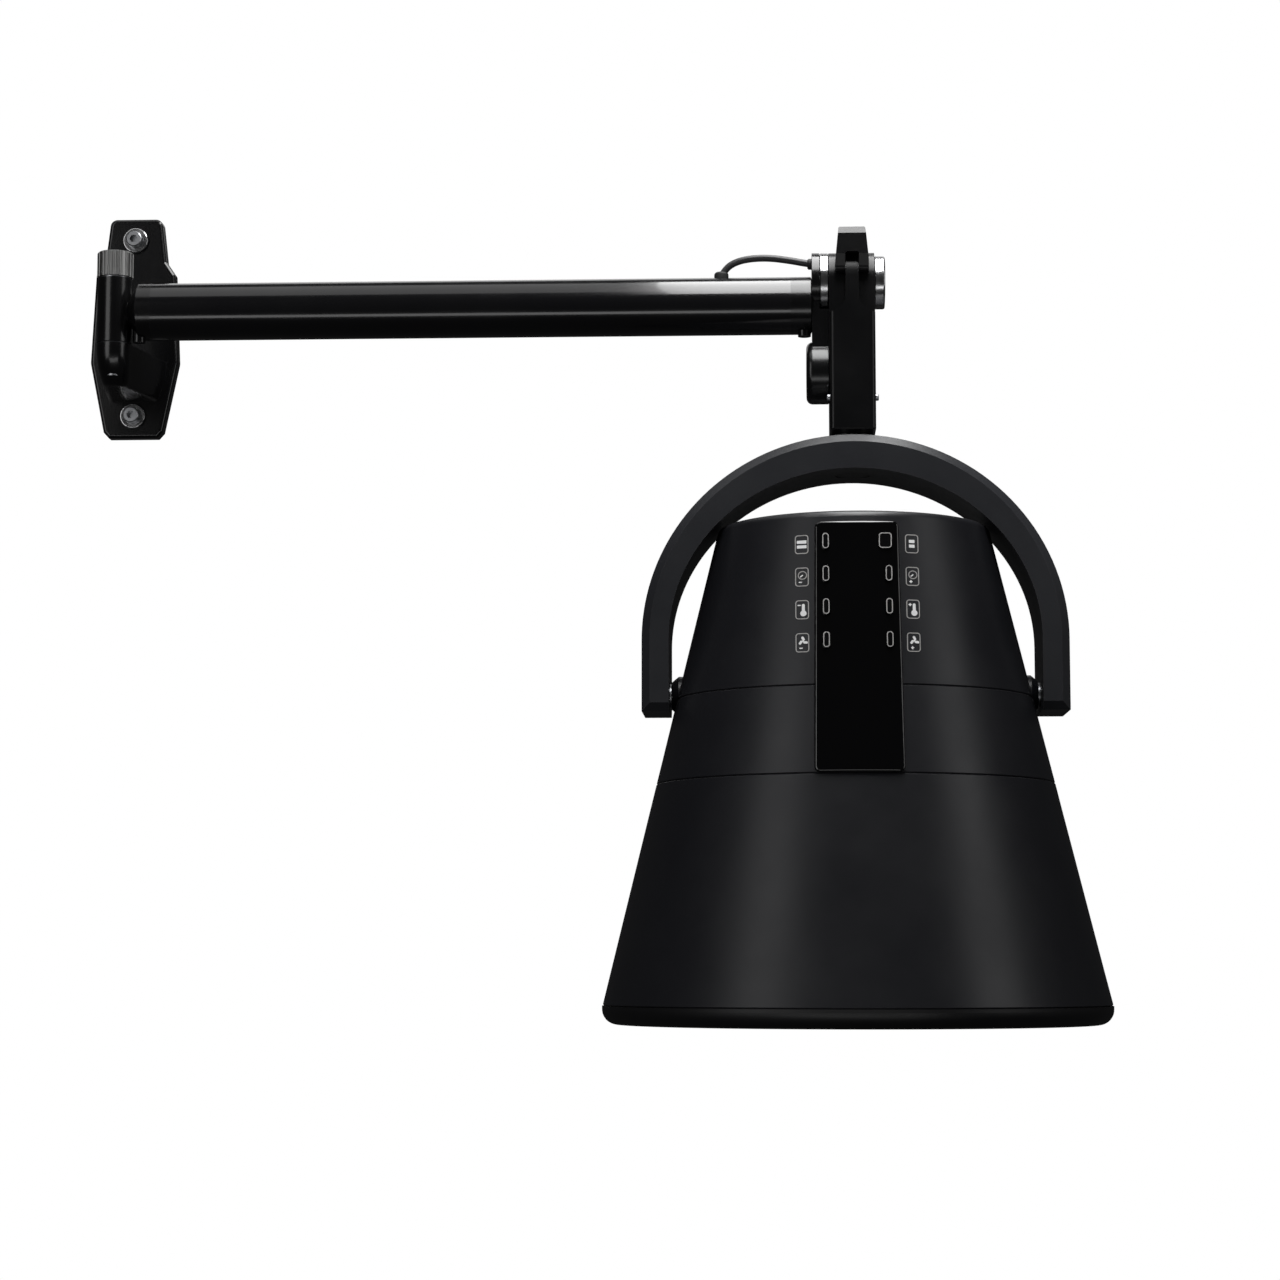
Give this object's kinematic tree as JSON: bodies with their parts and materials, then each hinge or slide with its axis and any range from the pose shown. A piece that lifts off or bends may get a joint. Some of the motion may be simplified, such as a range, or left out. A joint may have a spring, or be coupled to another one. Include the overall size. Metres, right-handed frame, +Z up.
{
  "type": "wall-mounted hood hair dryer",
  "caption": "Wall-mounted salon hood dryer: a swinging tube arm carries a hinged hanger and an arched yoke, in which a conical dryer hood with a front key panel tilts and turns.",
  "frame": {"origin": "on the wall plate's back face, midway between the two wall screws", "axes": "+X along the arm from the wall bracket to the hood, +Y into the wall, +Z up"},
  "size_m": [0.8374, 0.401, 0.6726],
  "materials": {
    "cast_paint": "satin dark grey-black paint on a casting",
    "tube_paint": "high-gloss black paint",
    "chrome": "polished chrome plate",
    "steel": "zinc-plated steel",
    "bronze": "sintered bronze, dull",
    "rubber": "soft black rubber",
    "lead": "satin black sheath",
    "hood_plastic": "satin black moulding",
    "rim_plastic": "soft satin black moulding",
    "bowl_plastic": "matt charcoal moulding",
    "panel_gloss": "glossy black",
    "key_gloss": "glossy black, pale outline",
    "coil": "oxidised resistance wire",
    "mica": "pale mica board",
    "fan_plastic": "grey moulding",
    "board": "green lacquered board"
  },
  "bodies": {
    "wall": {"wall_bracket": "cast_paint", "cup_washers": "chrome", "wall_screws": "steel", "hinge_pin": "steel", "thrust_washer": "hood_plastic"},
    "knob": {"clamp_knob": "chrome", "knob_washer": "steel"},
    "arm": {"root_fitting": "cast_paint", "sleeve_bushes": "bronze", "arm_tube": "tube_paint", "tube_grommets": "rubber", "jumper_lead": "lead", "lead_in_arm": "lead", "elbow_housing": "cast_paint", "lead_gland": "rubber", "pivot_axle": "steel", "pivot_ring": "chrome", "pivot_cap": "chrome", "arm_screws": "steel", "friction_washers": "bronze"},
    "link": {"hanger_link": "cast_paint", "link_bushes": "bronze", "link_cover": "cast_paint", "link_screws": "steel", "lever_pin": "steel"},
    "lever": {"release_lever": "cast_paint"},
    "yoke_body": {"yoke": "hood_plastic", "yoke_cover": "hood_plastic", "swivel_spigot": "cast_paint", "swivel_clip": "steel", "swivel_nut": "hood_plastic", "trunnion_bolts": "steel", "trunnion_washers": "steel"},
    "hood": {"lower_skirt": "hood_plastic", "middle_band": "hood_plastic", "upper_shell": "hood_plastic", "rim_ring": "rim_plastic", "inner_bowl": "bowl_plastic", "hood_screws": "steel", "top_grille": "hood_plastic", "chassis_ring": "steel", "trunnion_bosses": "hood_plastic", "fan_duct": "steel", "heater_frame": "mica", "heater_coils": "coil", "motor": "steel", "motor_mount": "steel", "control_panel": "panel_gloss", "circuit_board": "board", "key_switches": "key_gloss"},
    "fan": {"fan_rotor": "fan_plastic", "motor_shaft": "steel"},
    "key_pause_body": {"key_pause": "key_gloss"},
    "key_stop_body": {"key_stop": "key_gloss"},
    "key_time_less_body": {"key_time_less": "key_gloss"},
    "key_time_more_body": {"key_time_more": "key_gloss"},
    "key_heat_less_body": {"key_heat_less": "key_gloss"},
    "key_heat_more_body": {"key_heat_more": "key_gloss"},
    "key_air_less_body": {"key_air_less": "key_gloss"},
    "key_air_more_body": {"key_air_more": "key_gloss"}
  },
  "joints": [
    {"name": "arm_swing", "type": "hinge", "parent": "wall", "child": "arm", "pos_m": [0, -0.088, 0], "axis": [0, 0, 1], "range_deg": [-180, 0]},
    {"name": "knob_turn", "type": "hinge", "parent": "wall", "child": "knob", "pos_m": [0, -0.088, 0.03], "axis": [0, 0, 1], "range_deg": [-90, 90]},
    {"name": "link_tilt", "type": "hinge", "parent": "arm", "child": "link", "pos_m": [0.6, -0.088, 0.0154], "axis": [1, 0, 0], "range_deg": [-30, 40]},
    {"name": "lever_pull", "type": "hinge", "parent": "link", "child": "lever", "pos_m": [0.6, -0.1162, 0.0224], "axis": [1, 0, 0], "range_deg": [0, 35], "stiffness_Nm_per_rad": 0.6, "springref_deg": -20.05},
    {"name": "hood_swivel", "type": "hinge", "parent": "link", "child": "yoke_body", "pos_m": [0.6, -0.088, -0.11], "axis": [0, 0, 1], "range_deg": [-150, 150]},
    {"name": "hood_tilt", "type": "hinge", "parent": "yoke_body", "child": "hood", "pos_m": [0.6, -0.088, -0.319], "axis": [1, 0, 0], "range_deg": [-25, 25]},
    {"name": "fan_spin", "type": "hinge", "parent": "hood", "child": "fan", "pos_m": [0.6, -0.088, -0.28], "axis": [0, 0, 1], "continuous": true},
    {"name": "key_pause_press", "type": "slide", "parent": "hood", "child": "key_pause_body", "axis": [0, 0.9713, -0.238], "range_m": [0, 0.001], "stiffness_N_per_m": 600, "springref_m": -0.001},
    {"name": "key_stop_press", "type": "slide", "parent": "hood", "child": "key_stop_body", "axis": [0, 0.9713, -0.238], "range_m": [0, 0.001], "stiffness_N_per_m": 600, "springref_m": -0.001},
    {"name": "key_time_less_press", "type": "slide", "parent": "hood", "child": "key_time_less_body", "axis": [0, 0.9713, -0.238], "range_m": [0, 0.001], "stiffness_N_per_m": 600, "springref_m": -0.001},
    {"name": "key_time_more_press", "type": "slide", "parent": "hood", "child": "key_time_more_body", "axis": [0, 0.9713, -0.238], "range_m": [0, 0.001], "stiffness_N_per_m": 600, "springref_m": -0.001},
    {"name": "key_heat_less_press", "type": "slide", "parent": "hood", "child": "key_heat_less_body", "axis": [0, 0.9713, -0.238], "range_m": [0, 0.001], "stiffness_N_per_m": 600, "springref_m": -0.001},
    {"name": "key_heat_more_press", "type": "slide", "parent": "hood", "child": "key_heat_more_body", "axis": [0, 0.9713, -0.238], "range_m": [0, 0.001], "stiffness_N_per_m": 600, "springref_m": -0.001},
    {"name": "key_air_less_press", "type": "slide", "parent": "hood", "child": "key_air_less_body", "axis": [0, 0.9713, -0.238], "range_m": [0, 0.001], "stiffness_N_per_m": 600, "springref_m": -0.001},
    {"name": "key_air_more_press", "type": "slide", "parent": "hood", "child": "key_air_more_body", "axis": [0, 0.9713, -0.238], "range_m": [0, 0.001], "stiffness_N_per_m": 600, "springref_m": -0.001}
  ]
}
